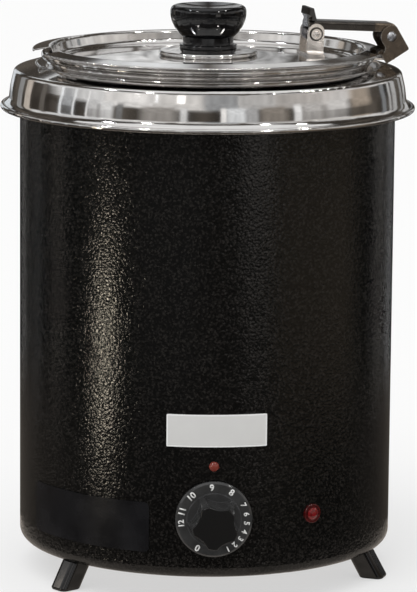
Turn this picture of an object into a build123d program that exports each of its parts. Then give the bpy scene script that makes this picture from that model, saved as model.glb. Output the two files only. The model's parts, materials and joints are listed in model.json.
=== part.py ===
from build123d import *
from math import atan2, cos, degrees, hypot, radians, sin, sqrt, tan
import os

# Round wet-heat soup kettle. Millimetres, +Z up, the dial faces -Y.
# The origin is on the ground under the middle of the casing.
# An azimuth is counted from the dial towards +X.

# Clearances and small edges
seat_gap = 0.3          # under pieces that lift off
run_gap = 0.05          # round turning pins, on the radius
side_gap = 0.3          # beside turning pieces
glue_gap = 0.3          # layer of glue behind plates stuck to the casing
hole_gap = 0.25         # round screws and bushes in sheet metal
soft_edge = 0.4         # rounding of moulded and turned edges

# Casing
casing_room = 14.2      # between the well and the casing
casing_height = 282.0
casing_wall = 1.0
casing_edge_radius = 7.0
casing_rim_radius = 1.8
top_flange_width = 9.2

# Feet
foot_height = 18.0
foot_width = 14.0
foot_corner = 4.0
foot_edge = 1.4
foot_splay = 30.0
foot_inset = 3.7        # middle of the contact face, inside the casing wall
foot_count = 3
foot_azimuth = -52.0
foot_names = ("foot_front_left", "foot_front_right", "foot_rear")
foot_stud_radius = 2.5
foot_stud_grip = 10.0   # length held in the foot
foot_nut_flats = 8.0
foot_nut_height = 4.0

# Base plate
base_plate_thickness = 1.0
base_plate_overlap = 7.0
base_plate_gap = 1.8    # inside the feet
base_screw_radius = 1.5
base_screw_head_radius = 2.8
base_screw_head_height = 1.8
base_nut_flats = 5.5
base_nut_height = 2.4

# Water well and its rim
compartment_height = 80.0
water_gap = 6.5         # between the pot and the well
well_wall = 1.0
well_edge_radius = 10.0
well_flange_inset = 2.2
seal_thickness = 1.0
rim_screw_count = 4
rim_screw_inset = 5.4
rim_screw_radius = 1.75
rim_screw_head_radius = 3.0
rim_screw_head_height = 2.2
rim_nut_flats = 6.0
rim_nut_height = 2.8

# Collar ring
collar_wall = 1.0
collar_skirt_height = 18.7
collar_skirt_inset = 0.7
collar_depth = 28.2
collar_fall = 3.9       # the top slopes down outwards
collar_shoulder_radius = 2.8
collar_room = 7.1       # between the casing and the foot of the collar's wall
collar_taper = 3.4
collar_bulge = 0.6      # the wall's belly
collar_bulge_radius = 45.0
collar_flare_height = 5.2
collar_flare_radius = 4.0
lip_reach = 5.2         # beyond the collar's wall
lip_bead_radius = 1.6

# Soup pot
pot_radius = 95.0
pot_floor_gap = 19.0    # water under the pot
pot_wall = 1.0
pot_edge_radius = 12.0
pot_flange_lap = 3.8    # on the collar's ledge
pot_flange_thickness = 1.2
neck_step = 4.0
neck_height = 5.011
neck_fillet = 1.6
rim_bead_radius = 2.8
rim_bead_lap = 1.2      # inside the neck's outer face

# Lid
lid_overhang = 10.0     # beyond the pot's neck
lid_wall = 0.8
lid_play = 1.45         # between the brim and the pot's rim
lid_plug_depth = 5.7    # at the knob
lid_plug_gap = 3.4      # inside the pot's neck
lid_plug_fillet = 3.0
lid_plug_taper = 2.4
lid_crown = 3.0         # how far the panel falls from the knob to its edge
lid_crown_start = 9.0   # outside the knob's plate
lid_crown_radius = 280.0
lid_crest_fillet = 2.2
lid_brim_drop = 2.0
lid_edge_turn = 1.0
lid_edge_fillet = 0.9
notch_width = 28.0
notch_depth = 15.0
notch_corner = 3.0

# Knob and the plate under it
knob_plate_radius = 31.0
knob_plate_height = 4.2
knob_plate_edge = 3.0   # height of the rolled edge
knob_plate_roll = 1.1
knob_plate_crown = 12.5
knob_plate_bulge = 0.25
knob_foot_radius = 18.1
knob_foot_height = 2.6
knob_neck_radius = 15.9
knob_neck_height = 4.6
knob_radius = 23.8
knob_bowl_height = 14.5
knob_belly = 1.8        # how far the bowl's side bulges
knob_band_height = 1.6
knob_brow = 3.0
knob_rim_height = 3.6
knob_dish_depth = 2.4
knob_screw_radius = 2.5
knob_screw_grip = 14.0
knob_screw_head_radius = 4.2
knob_screw_head_height = 2.4
knob_washer_radius = 7.0
knob_washer_thickness = 1.0

# Lid hinge, on the pot
hinge_azimuth = 102.0
pivot_reach = 7.6       # hinge pin outside the lid's edge
pivot_rise = 15.2       # hinge pin above the collar
bracket_width = 18.5
bracket_sheet = 1.5
bracket_tilt = 31.0
bracket_lobe = 7.0
bracket_back = 5.9
bracket_step = 4.5
bracket_foot = 3.4      # lower corner of the cheeks, below the tongue's top
bracket_gap = 0.4       # cheeks above the collar
bracket_web_height = 7.0
bracket_inner_corner = 3.0
bracket_outer_corner = 1.4
tongue_width = 14.0
tongue_thickness = 1.2
tongue_reach = 2.6      # beyond the hinge pin
tongue_rivet_radius = 1.5
tongue_rivet_head_radius = 2.6
tongue_rivet_head_height = 1.1
tongue_rivet_spacing = 8.0
hinge_screw_radius = 2.0
hinge_screw_tail = 1.0
hinge_screw_head_radius = 3.2
hinge_screw_head_height = 2.0
hinge_spacer_radius = 3.5
hinge_nut_flats = 7.0
hinge_nut_height = 3.2
cross_recess_width = 0.9
cross_recess_depth = 1.1

# Lid arm
arm_span = 49.8         # between the two pins, level
lid_pivot_rise = 12.4   # lid rivet above the lid's panel
arm_sheet = 1.2
arm_top = 8.4           # above the line through both pins
arm_depth = 5.6
arm_bend_radius = 2.2
arm_hinge_lobe = 6.3
arm_lid_lobe = 5.0
arm_hinge_overhang = 3.4
arm_hinge_round = 4.0
arm_lid_overhang = 4.6
tab_lean = 0.0
tab_length = 7.2        # above the arm
tab_flare = 1.6         # wider than the arm, at each side
cap_height = 4.8        # on the face away from the hinge
cap_wall = 0.7
cap_heel = 3.2          # at the foot, towards the hinge
cap_slant = 0.5
cap_round = 0.4

# Lid bracket
ear_width = 10.6
ear_crown = 1.3         # middle of the ears' round, above the rivet
ear_sheet = 1.5
ear_foot_reach = 4.4
ear_foot_fillet = 2.4
lid_rivet_radius = 2.2
lid_rivet_rim_radius = 3.9
lid_rivet_rim_width = 0.9
lid_rivet_rim_height = 0.7
lid_rivet_head_radius = 2.5
lid_rivet_head_height = 1.6

# Dial and thermostat
dial_rise = 38.3        # above the casing's underside
dial_radius = 23.5
dial_reach = 26.5       # front of the grip, out from the casing
dial_stand_off = 0.9
dial_skirt_thickness = 3.7
dial_bevel = 1.2
dial_recess_depth = 1.7
dial_recess_gap = 2.8   # round the screw heads
grip_face_radius = 13.6
grip_flare = 3.0
grip_edge = 0.7
scallop_count = 5
scallop_radius = 16.0
scallop_depth = 2.2
scallop_azimuth = 8.0
shaft_radius = 3.0
shaft_bore_depth = 12.0
shaft_socket = 8.0      # length held in the thermostat
bush_radius = 5.0
bush_reach = 0.3
thermostat_width = 38.0
thermostat_tall = 34.0
thermostat_deep = 28.0
thermostat_corner = 2.0
thermostat_screw_spacing = 28.0
thermostat_screw_radius = 1.9
thermostat_screw_head_radius = 3.2
thermostat_screw_head_height = 1.8
thermostat_screw_grip = 6.0

# Sensing bulb
bulb_azimuth = 27.0
bulb_radius = 3.0
bulb_length = 60.0
bulb_lift = 14.0        # above the well's underside
bulb_round = 1.8
capillary_radius = 1.0
capillary_bend = 6.0
capillary_drop = 6.0    # below the well's underside
clip_width = 12.0
clip_tall = 8.0
clip_wall = 1.2

# Heater, held under the well
heater_inset = 33.5
heater_thickness = 3.0
heater_bore = 8.0
heater_tab_width = 6.3
heater_tab_thickness = 0.8
heater_tab_length = 10.0
heater_tab_azimuths = (60.0, 80.0)
pad_inset = 2.0
pad_thickness = 5.0
clamp_overhang = 2.0
clamp_thickness = 1.5
heater_stud_count = 4
heater_stud_inset = 18.0
heater_stud_radius = 2.5
heater_stud_tail = 3.0
heater_nut_flats = 8.0
heater_nut_height = 4.0

# Lamps
pilot_azimuth = 31.2
pilot_rise = 37.3
pilot_bezel_lap = 0.75
pilot_bezel_height = 1.7
pilot_bezel_round = 0.7
pilot_lens_radius = 3.8
pilot_lens_lap = 0.4
pilot_lens_dome = 1.6
pilot_body_wall = 0.8
pilot_body_length = 20.0
pilot_tab_width = 3.8
pilot_nut_lap = 3.0
pilot_nut_thickness = 1.2
jewel_rise = 70.4
jewel_radius = 3.1
jewel_dome = 2.2
jewel_stem_radius = 2.0
jewel_stem_length = 6.0
jewel_clip_lap = 2.5
jewel_clip_thickness = 0.8

# Plates stuck to the casing
plate_width = 61.5
plate_tall = 20.0
plate_rise = 92.6
plate_thickness = 0.6
plate_corner = 0.6
plate_azimuth = 0.8
film_width = 95.0
film_tall = 31.0
film_rise = 31.2
film_azimuth = -42.4
film_thickness = 0.25
film_corner = 3.0

# Cable inlet
gland_azimuth = 180.0
gland_rise = 27.0
gland_bore_radius = 4.0
gland_thread_wall = 4.0
gland_thread_length = 12.0
gland_flange_lap = 3.0
gland_flange_thickness = 3.0
gland_nose_wall = 2.5
gland_nose_taper = 2.5
gland_nut_lap = 2.5      # flats beyond the thread
gland_nut_height = 5.0
terminal_width = 36.0
terminal_deep = 20.0
terminal_tall = 16.0
terminal_ways = 3
terminal_pitch = 11.0
terminal_screw_radius = 1.6
terminal_screw_depth = 6.0
terminal_azimuth = 150.0
terminal_inset = 41.7

# Levels and radii that follow from the sizes above
well_radius = pot_radius + pot_wall + water_gap
well_outer = well_radius + well_wall
casing_radius = well_outer + casing_room
casing_low = foot_height
casing_top = casing_low + casing_height
top_opening = casing_radius - top_flange_width
foot_lean = tan(radians(foot_splay))
foot_circle = casing_radius - foot_inset
foot_stud_circle = foot_circle - (foot_height - foot_stud_grip / 2) * foot_lean
foot_inner = foot_circle - foot_height * foot_lean - foot_width / 2 / cos(radians(foot_splay))
base_plate_radius = foot_inner - base_plate_gap
bottom_opening = base_plate_radius - base_plate_overlap
base_screw_circle = bottom_opening + base_plate_overlap / 2
well_low = casing_low + compartment_height
well_flange_low = casing_top + seal_thickness
well_flange_top = well_flange_low + well_wall
rim_screw_circle = casing_radius - rim_screw_inset
collar_low = well_flange_top + seat_gap
collar_top = collar_low + collar_skirt_height
collar_opening = well_radius + collar_skirt_inset
collar_base_reach = casing_radius + collar_room
collar_shoulder_reach = collar_base_reach - collar_taper
collar_belly_reach = (collar_base_reach + collar_shoulder_reach) / 2 + collar_bulge
lip_radius = collar_base_reach + lip_reach
lip_low = collar_top - collar_depth
pot_flange_radius = collar_opening + pot_flange_lap
neck_radius = pot_radius + pot_wall + neck_step
lid_radius = neck_radius + lid_overhang
lid_plug_radius = neck_radius - pot_wall - lid_plug_gap
lid_crest_radius = lid_plug_radius + lid_plug_taper
pot_flange_low = collar_top - pot_flange_thickness + seat_gap
pot_flange_top = pot_flange_low + pot_flange_thickness
pot_floor = well_low + well_wall + pot_floor_gap + pot_wall
rim_bead_level = pot_flange_top + neck_height
rim_bead_reach = neck_radius + rim_bead_radius - rim_bead_lap
brim_slope = lid_brim_drop / (lid_radius - lid_crest_radius)
brim_over_rim = rim_bead_radius + lid_play + lid_wall
brim_fall = brim_slope * (rim_bead_reach - lid_crest_radius)
lid_crest = rim_bead_level + brim_over_rim * hypot(1, brim_slope) + brim_fall
lid_panel = lid_crest - lid_plug_depth
lid_cone_radius = knob_plate_radius + lid_crown_start
lid_cone_slope = lid_crown / (lid_plug_radius - lid_cone_radius)
knob_low = lid_panel + knob_plate_height
pivot_radius = lid_radius + pivot_reach
pivot_height = collar_top + pivot_rise
lid_pivot_radius = pivot_radius - arm_span
lid_pivot_height = lid_panel + lid_pivot_rise
tongue_low = pot_flange_top
tongue_top = tongue_low + tongue_thickness
bracket_front = bracket_lobe + bracket_step
bracket_drop = pivot_height - tongue_top + bracket_foot - bracket_front * sin(radians(bracket_tilt))
bracket_length = bracket_drop / cos(radians(bracket_tilt))
bracket_inside = bracket_width / 2 - bracket_sheet
arm_half = bracket_inside - side_gap
ear_inside = arm_half + side_gap
ear_outside = ear_inside + ear_sheet
heater_radius = well_outer - heater_inset
heater_stud_circle = heater_radius - heater_stud_inset
pilot_lens_flange = pilot_lens_radius + pilot_lens_lap
pilot_hole_radius = pilot_lens_flange + pilot_body_wall
pilot_bezel_radius = pilot_hole_radius + hole_gap + pilot_bezel_lap
pilot_nut_radius = pilot_hole_radius + pilot_nut_lap
jewel_clip_radius = jewel_stem_radius + jewel_clip_lap
dial_recess_radius = thermostat_screw_spacing / 2 + thermostat_screw_head_radius + dial_recess_gap
dial_hub_radius = thermostat_screw_spacing / 2 - thermostat_screw_head_radius - dial_recess_gap
grip_foot_radius = grip_face_radius + grip_flare
gland_thread_radius = gland_bore_radius + gland_thread_wall
gland_nut_flats = (gland_thread_radius + gland_nut_lap) * 2

bottom_up = (Align.CENTER, Align.CENTER, Align.MIN)
top_down = (Align.CENTER, Align.CENTER, Align.MAX)


def outward(azimuth):
    angle = radians(azimuth)
    return Vector(sin(angle), -cos(angle), 0)


def standing(azimuth, radius, height):
    # A place with its own z axis upwards and its x axis away from the kettle's axis.
    point = outward(azimuth) * radius + Vector(0, 0, height)
    return Plane(point, x_dir=outward(azimuth), z_dir=(0, 0, 1)).location


def on_wall(azimuth, height):
    # A place on the casing: x to the right, y up, z straight out.
    facing = outward(azimuth)
    point = facing * casing_radius + Vector(0, 0, height)
    return Plane(point, x_dir=outward(azimuth + 90), z_dir=facing).location


def upright(azimuth):
    # The plane through the kettle's axis: x is the radius, y is the height.
    return Plane((0, 0, 0), x_dir=outward(azimuth), z_dir=outward(azimuth - 90)).location


def wall_sag(radius, half_width):
    # How far a cylinder of this radius falls away at this distance from its middle line.
    return radius - sqrt(radius**2 - half_width**2)


def turned(profile, arc=360.0):
    return revolve(Plane.XZ * profile, axis=Axis.Z, revolution_arc=arc)


def outline(points, radii):
    return make_face(FilletPolyline(*points, radius=radii, close=True))


def sheet(points, radii, thickness, side):
    spine = FilletPolyline(*points, radius=radii)
    return make_face(offset(spine, amount=thickness, side=side, kind=Kind.INTERSECTION))


def rod(radius, start, end):
    return Pos(0, 0, start) * Cylinder(radius, end - start, align=bottom_up)


def tube(outer, inner, start, end):
    return rod(outer, start, end) - rod(inner, start, end)


def dome(radius, height):
    # A cap of a sphere that stands on z = 0.
    ball = (radius**2 + height**2) / (2 * height)
    return Pos(0, 0, height - ball) * Sphere(ball) & rod(radius, 0, height)


def hex_nut(flats, bore, start, height):
    blank = extrude(RegularPolygon(flats / 2, 6, major_radius=False, rotation=30), height)
    return Pos(0, 0, start) * blank - rod(bore, start, start + height)


def screw(head_radius, head_height, shank_radius, shank_length):
    # A cross-recessed pan head that stands on z = 0 with its shank below.
    head = dome(head_radius, head_height)
    slot = Box(head_radius * 1.1, cross_recess_width, cross_recess_depth * 2)
    recess = Pos(0, 0, head_height) * (slot + Rot(0, 0, 90) * slot)
    return head - recess + rod(shank_radius, -shank_length, 0)


def around(count, first=0.0):
    return [first + 360.0 / count * step for step in range(count)]


def group(solids):
    return Compound(children=solids)


foot_azimuths = around(foot_count, foot_azimuth)
base_screw_azimuths = around(foot_count, foot_azimuth + 180.0 / foot_count)
rim_screw_azimuths = around(rim_screw_count, 180.0 / rim_screw_count)
heater_stud_azimuths = around(heater_stud_count, 180.0 / heater_stud_count)

dial_place = on_wall(0.0, casing_low + dial_rise)
jewel_place = on_wall(0.0, casing_low + jewel_rise)
pilot_place = on_wall(pilot_azimuth, casing_low + pilot_rise)
gland_place = on_wall(gland_azimuth, casing_low + gland_rise)
hinge_side = upright(hinge_azimuth)
hinge_pin = hinge_side * Pos(pivot_radius, pivot_height)
lid_pin = hinge_side * Pos(lid_pivot_radius, lid_pivot_height)

thermostat_front = -casing_wall - wall_sag(casing_radius - casing_wall, thermostat_width / 2)
thermostat_head_edge = thermostat_screw_spacing / 2 - thermostat_screw_head_radius
thermostat_head_seat = -wall_sag(casing_radius, thermostat_head_edge)


def casing_envelope():
    side = [(casing_radius, casing_low), (casing_radius, casing_top)]
    points = [(0, casing_low), *side, (0, casing_top)]
    return turned(outline(points, [0, casing_edge_radius, 0, 0]))


def outer_casing():
    points = [
        (bottom_opening, casing_low),
        (casing_radius, casing_low),
        (casing_radius, casing_top),
        (top_opening, casing_top),
    ]
    shell = turned(sheet(points, [casing_edge_radius, casing_rim_radius], casing_wall, Side.LEFT))
    through = casing_wall * 4
    shell -= dial_place * rod(bush_radius + hole_gap, -through, through)
    for side in (-1, 1):
        place = dial_place * Pos(side * thermostat_screw_spacing / 2, 0)
        shell -= place * rod(thermostat_screw_radius + hole_gap, -through, through)
    shell -= pilot_place * rod(pilot_hole_radius + hole_gap, -through, through)
    shell -= jewel_place * rod(jewel_stem_radius + hole_gap, -through, through)
    shell -= gland_place * rod(gland_thread_radius + hole_gap, -through, through)
    for azimuth in foot_azimuths:
        hole = rod(foot_stud_radius + hole_gap, -through, through)
        shell -= standing(azimuth, foot_stud_circle, casing_low) * hole
    for azimuth in base_screw_azimuths:
        hole = rod(base_screw_radius + hole_gap, -through, through)
        shell -= standing(azimuth, base_screw_circle, casing_low) * hole
    for azimuth in rim_screw_azimuths:
        hole = rod(rim_screw_radius + hole_gap, -through, through)
        shell -= standing(azimuth, rim_screw_circle, casing_top) * hole
    return shell


def base_plate():
    plate = rod(base_plate_radius, casing_low - base_plate_thickness, casing_low)
    for azimuth in base_screw_azimuths:
        hole = rod(base_screw_radius + hole_gap, -base_plate_thickness * 2, base_plate_thickness)
        plate -= standing(azimuth, base_screw_circle, casing_low) * hole
    return plate


def base_screws():
    length = base_plate_thickness + casing_wall + base_nut_height
    fastener = screw(base_screw_head_radius, base_screw_head_height, base_screw_radius, length)
    level = casing_low - base_plate_thickness
    return group([standing(azimuth, base_screw_circle, level) * Rot(180, 0, 0) * fastener
                  for azimuth in base_screw_azimuths])


def base_nuts():
    nut = hex_nut(base_nut_flats, base_screw_radius, 0, base_nut_height)
    level = casing_low + casing_wall
    return group([standing(azimuth, base_screw_circle, level) * nut for azimuth in base_screw_azimuths])


def foot(azimuth):
    # A splayed leg of rounded square section, cut flat by the ground and fitted to the casing above.
    point = outward(azimuth) * foot_circle
    axis = Vector(0, 0, cos(radians(foot_splay))) - outward(azimuth) * sin(radians(foot_splay))
    section = Plane(point, x_dir=outward(azimuth + 90), z_dir=axis)
    length = foot_height / cos(radians(foot_splay)) + foot_width * 2
    leg = extrude(section * RectangleRounded(foot_width, foot_width, foot_corner), length, both=True)
    ground = Box(foot_width * 8, foot_width * 8, length * 2, align=top_down)
    leg -= Pos(point) * ground
    leg -= casing_envelope()
    sole = leg.faces().sort_by(Axis.Z)[0]
    leg = fillet(sole.edges(), foot_edge)
    socket = rod(foot_stud_radius, -foot_stud_grip, casing_edge_radius)
    return leg - standing(azimuth, foot_stud_circle, casing_low) * socket


def foot_studs():
    stud = rod(foot_stud_radius, -foot_stud_grip, casing_wall + foot_nut_height + foot_stud_radius)
    return group([standing(azimuth, foot_stud_circle, casing_low) * stud for azimuth in foot_azimuths])


def foot_nuts():
    nut = hex_nut(foot_nut_flats, foot_stud_radius, casing_wall, foot_nut_height)
    return group([standing(azimuth, foot_stud_circle, casing_low) * nut for azimuth in foot_azimuths])


def water_well():
    points = [
        (0, well_low),
        (well_outer, well_low),
        (well_outer, well_flange_low),
        (casing_radius - well_flange_inset, well_flange_low),
    ]
    well = turned(sheet(points, [well_edge_radius, 0], well_wall, Side.LEFT))
    for azimuth in rim_screw_azimuths:
        hole = rod(rim_screw_radius + hole_gap, -well_wall, well_wall * 2)
        well -= standing(azimuth, rim_screw_circle, well_flange_low) * hole
    return well


def well_seal():
    seal = tube(casing_radius - well_flange_inset, top_opening, casing_top, well_flange_low)
    for azimuth in rim_screw_azimuths:
        hole = rod(rim_screw_radius + hole_gap, -seal_thickness, seal_thickness * 2)
        seal -= standing(azimuth, rim_screw_circle, casing_top) * hole
    return seal


def rim_screws():
    length = well_wall + seal_thickness + casing_wall + rim_nut_height
    fastener = screw(rim_screw_head_radius, rim_screw_head_height, rim_screw_radius, length)
    return group([standing(azimuth, rim_screw_circle, well_flange_top) * fastener
                  for azimuth in rim_screw_azimuths])


def rim_nuts():
    nut = hex_nut(rim_nut_flats, rim_screw_radius, -casing_wall - rim_nut_height, rim_nut_height)
    return group([standing(azimuth, rim_screw_circle, casing_top) * nut for azimuth in rim_screw_azimuths])


def heater_layer(radius, bore, top, thickness):
    layer = tube(radius, bore, top - thickness, top)
    for azimuth in heater_stud_azimuths:
        hole = rod(heater_stud_radius + hole_gap, top - thickness * 2, top + thickness)
        layer -= standing(azimuth, heater_stud_circle, 0) * hole
    return layer


heater_low = well_low - heater_thickness
pad_low = heater_low - pad_thickness
clamp_low = pad_low - clamp_thickness


def heating_element():
    element = heater_layer(heater_radius, heater_bore, well_low, heater_thickness)
    for azimuth in heater_tab_azimuths:
        blade = Box(heater_tab_length * 2, heater_tab_width, heater_tab_thickness)
        element += standing(azimuth, heater_radius, (heater_low + well_low) / 2) * blade
    return element


def heater_studs():
    stud = rod(heater_stud_radius, clamp_low - heater_nut_height - heater_stud_tail, well_low)
    return group([standing(azimuth, heater_stud_circle, 0) * stud for azimuth in heater_stud_azimuths])


def heater_nuts():
    nut = hex_nut(heater_nut_flats, heater_stud_radius, clamp_low - heater_nut_height, heater_nut_height)
    return group([standing(azimuth, heater_stud_circle, 0) * nut for azimuth in heater_stud_azimuths])


def thermostat_body():
    case = Box(thermostat_width, thermostat_tall, thermostat_deep, align=top_down)
    case = fillet(case.edges().filter_by(Axis.Z), thermostat_corner)
    body = Pos(0, 0, thermostat_front) * case + rod(bush_radius, thermostat_front, bush_reach)
    body -= rod(shaft_radius + run_gap, thermostat_front - shaft_socket - side_gap, dial_reach)
    for side in (-1, 1):
        hole = rod(thermostat_screw_radius, thermostat_front - thermostat_screw_grip, 0)
        body -= Pos(side * thermostat_screw_spacing / 2, 0) * hole
    return dial_place * body


def thermostat_screws():
    length = thermostat_head_seat - thermostat_front + thermostat_screw_grip
    head = (thermostat_screw_head_radius, thermostat_screw_head_height)
    fastener = screw(*head, thermostat_screw_radius, length)
    return group([dial_place * Pos(side * thermostat_screw_spacing / 2, 0, thermostat_head_seat) * fastener
                  for side in (-1, 1)])


bulb_circle = well_outer + bulb_radius + glue_gap
bulb_low = well_low + bulb_lift


def thermostat_capillary():
    # A thin tube from the top of the thermostat to a bulb that lies along the well's wall.
    start = (dial_place * Pos(0, thermostat_tall / 2, thermostat_front - thermostat_deep / 2)).position
    foot_point = outward(bulb_azimuth) * bulb_circle
    level = well_low - capillary_drop
    route = [
        start,
        Vector(start.X, start.Y, level),
        Vector(foot_point.X, foot_point.Y, level),
        Vector(foot_point.X, foot_point.Y, bulb_low),
    ]
    path = FilletPolyline(*route, radius=capillary_bend)
    section = Plane(start, z_dir=(0, 0, 1)) * Circle(capillary_radius)
    bulb = rod(bulb_radius, bulb_low, bulb_low + bulb_length)
    bulb = fillet(bulb.edges(), bulb_round)
    return sweep(section, path=path) + standing(bulb_azimuth, bulb_circle, 0) * bulb


def bulb_clip():
    reach = bulb_radius * 2 + glue_gap + clip_wall
    block = Box(reach, clip_width, clip_tall, align=(Align.MIN, Align.CENTER, Align.CENTER))
    level = bulb_low + bulb_length / 2
    clip = standing(bulb_azimuth, well_outer, level) * block
    clip += standing(bulb_azimuth, well_outer, level) * Pos(-clip_wall) * block
    clip -= standing(bulb_azimuth, bulb_circle, level) * rod(bulb_radius, -clip_tall, clip_tall)
    return clip - rod(well_outer, level - clip_tall, level + clip_tall)


def pilot_lamp_bezel():
    ring = tube(pilot_bezel_radius, pilot_lens_radius, 0, pilot_bezel_height)
    rim = ring.edges().filter_by(GeomType.CIRCLE).sort_by(Axis.Z)[-2:]
    ring = fillet(rim, pilot_bezel_round)
    return pilot_place * ring


def pilot_lamp_lens():
    lens = rod(pilot_lens_flange, -casing_wall, 0) + rod(pilot_lens_radius, 0, pilot_bezel_height)
    lens += Pos(0, 0, pilot_bezel_height) * dome(pilot_lens_radius, pilot_lens_dome)
    return pilot_place * lens


def pilot_lamp_body():
    body = rod(pilot_hole_radius, -pilot_body_length, 0) - rod(pilot_lens_flange, -casing_wall, 0)
    for side in (-1, 1):
        blade = Box(heater_tab_thickness, pilot_tab_width, heater_tab_length)
        body += Pos(side * pilot_hole_radius / 2, 0, -pilot_body_length) * blade
    return pilot_place * body


pilot_nut_top = -casing_wall - wall_sag(casing_radius - casing_wall, pilot_nut_radius)


def pilot_lamp_nut():
    low = pilot_nut_top - pilot_nut_thickness
    return pilot_place * tube(pilot_nut_radius, pilot_hole_radius, low, pilot_nut_top)


def index_jewel():
    return jewel_place * (dome(jewel_radius, jewel_dome) + rod(jewel_stem_radius, -jewel_stem_length, 0))


jewel_clip_top = -casing_wall - wall_sag(casing_radius - casing_wall, jewel_clip_radius)


def index_clip():
    bottom = jewel_clip_top - jewel_clip_thickness
    return jewel_place * tube(jewel_clip_radius, jewel_stem_radius, bottom, jewel_clip_top)


def curved_plate(azimuth, rise, width, tall, thickness, corner):
    inner = casing_radius + glue_gap
    arc = degrees(width / inner)
    section = Pos(inner + thickness / 2, casing_low + rise) * Rectangle(thickness, tall)
    plate = turned(section, arc)
    ends = plate.edges().filter_by(GeomType.LINE)
    plate = fillet(ends.filter_by(lambda edge: edge.length < tall / 2), corner)
    return Rot(0, 0, azimuth - 90 - arc / 2) * plate


def cable_gland():
    # It stands as far out behind as the dial does in front.
    flange_radius = gland_thread_radius + gland_flange_lap
    nose_radius = gland_bore_radius + gland_nose_wall
    points = [
        (gland_bore_radius, 0),
        (flange_radius, 0),
        (flange_radius, gland_flange_thickness),
        (nose_radius + gland_nose_taper, gland_flange_thickness + soft_edge),
        (nose_radius, dial_reach),
        (gland_bore_radius, dial_reach),
    ]
    body = turned(outline(points, [0, 0, soft_edge * 2, soft_edge * 2, soft_edge * 3, 0]))
    return gland_place * (body + tube(gland_thread_radius, gland_bore_radius, -gland_thread_length, 0))


gland_nut_top = -casing_wall - wall_sag(casing_radius - casing_wall, gland_nut_flats / sqrt(3))


def gland_nut():
    low = gland_nut_top - gland_nut_height
    return gland_place * hex_nut(gland_nut_flats, gland_thread_radius, low, gland_nut_height)


terminal_place = standing(terminal_azimuth, base_plate_radius - terminal_inset, casing_low)
terminal_steps = [(step - (terminal_ways - 1) / 2) * terminal_pitch for step in range(terminal_ways)]


def terminal_block():
    block = Box(terminal_deep, terminal_width, terminal_tall, align=bottom_up)
    for step in terminal_steps:
        channel = Rot(0, 90, 0) * Cylinder(terminal_screw_radius, terminal_deep * 2)
        block -= Pos(0, step, terminal_tall / 3) * channel
        hole = rod(terminal_screw_radius, terminal_tall - terminal_screw_depth, terminal_tall * 2)
        block -= Pos(0, step) * hole
    return terminal_place * block


def terminal_screws():
    depth = terminal_screw_depth - cross_recess_depth
    top = terminal_tall - cross_recess_depth
    post = rod(terminal_screw_radius, terminal_tall - terminal_screw_depth, top)
    slot = Pos(0, 0, top) * Box(depth, cross_recess_width, cross_recess_depth)
    return group([terminal_place * Pos(0, step) * (post - slot) for step in terminal_steps])


def collar_ring():
    step_radius = pot_flange_radius + seat_gap
    ledge = collar_top - pot_flange_thickness
    bead_middle = (lip_radius - lip_bead_radius, lip_low + lip_bead_radius)
    shoulder = collar_top - collar_fall
    foot_level = lip_low + collar_flare_height
    points = [
        (collar_opening, collar_low),
        (collar_opening, ledge),
        (step_radius, ledge),
        (step_radius + pot_flange_thickness / 2, collar_top),
        (collar_shoulder_reach, shoulder),
        (collar_belly_reach, (shoulder + foot_level) / 2),
        (collar_base_reach, foot_level),
        (lip_radius - lip_bead_radius, lip_low + lip_bead_radius * 1.5),
    ]
    radii = [0, 0, 0, collar_shoulder_radius, collar_bulge_radius, collar_flare_radius]
    profile = sheet(points, radii, collar_wall, Side.RIGHT)
    profile += Pos(*bead_middle) * Circle(lip_bead_radius)
    return turned(profile)


def soup_pot():
    outer = pot_radius + pot_wall
    points = [
        (0, pot_floor - pot_wall),
        (outer, pot_floor - pot_wall),
        (outer, pot_flange_low),
        (pot_flange_radius, pot_flange_low),
        (pot_flange_radius, pot_flange_top),
        (neck_radius, pot_flange_top),
        (neck_radius, rim_bead_level),
        (neck_radius - pot_wall, rim_bead_level),
        (neck_radius - pot_wall, pot_flange_top),
        (pot_radius, pot_flange_top),
        (pot_radius, pot_floor),
        (0, pot_floor),
    ]
    inner_edge = pot_edge_radius - pot_wall
    profile = outline(points, [0, pot_edge_radius, 0, 0, 0, neck_fillet, 0, 0, 0, 0, inner_edge, 0])
    profile += Pos(rim_bead_reach, rim_bead_level) * Circle(rim_bead_radius)
    return turned(profile)


tongue_start = neck_radius + neck_fillet + seat_gap
tongue_end = pivot_radius + tongue_reach
rivet_radius_place = pivot_radius - bracket_sheet


def hinge_tongue():
    length = tongue_end - tongue_start
    strip = Box(length, tongue_thickness, tongue_width, align=(Align.MIN, Align.MIN, Align.CENTER))
    strip = hinge_side * Pos(tongue_start, tongue_low) * strip
    for side in (-1, 1):
        place = hinge_side * Pos(rivet_radius_place, tongue_low, side * tongue_rivet_spacing / 2)
        strip -= place * Rot(-90, 0, 0) * rod(tongue_rivet_radius, -tongue_thickness, tongue_thickness * 2)
    return strip


def bracket_side():
    # One cheek, seen along the hinge pin, with the pin at the middle.
    lower = bracket_length
    front = Pos(-(bracket_front + bracket_lobe) / 2, -lower + bracket_web_height / 2)
    body_width = bracket_back + bracket_lobe
    side = Pos((bracket_back - bracket_lobe) / 2, -lower / 2) * Rectangle(body_width, lower)
    side += front * Rectangle(bracket_front - bracket_lobe, bracket_web_height)
    behind = Pos(bracket_back - bracket_lobe * 2, 0) * Rectangle(bracket_lobe * 4, bracket_lobe * 4)
    side += Circle(bracket_lobe) & behind
    inner = side.vertices().sort_by_distance((-bracket_lobe, bracket_web_height - lower))[0]
    side = fillet(inner, bracket_inner_corner)
    outer = side.vertices().sort_by_distance((bracket_back, -lower))[0]
    return fillet(outer, bracket_outer_corner)


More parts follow.
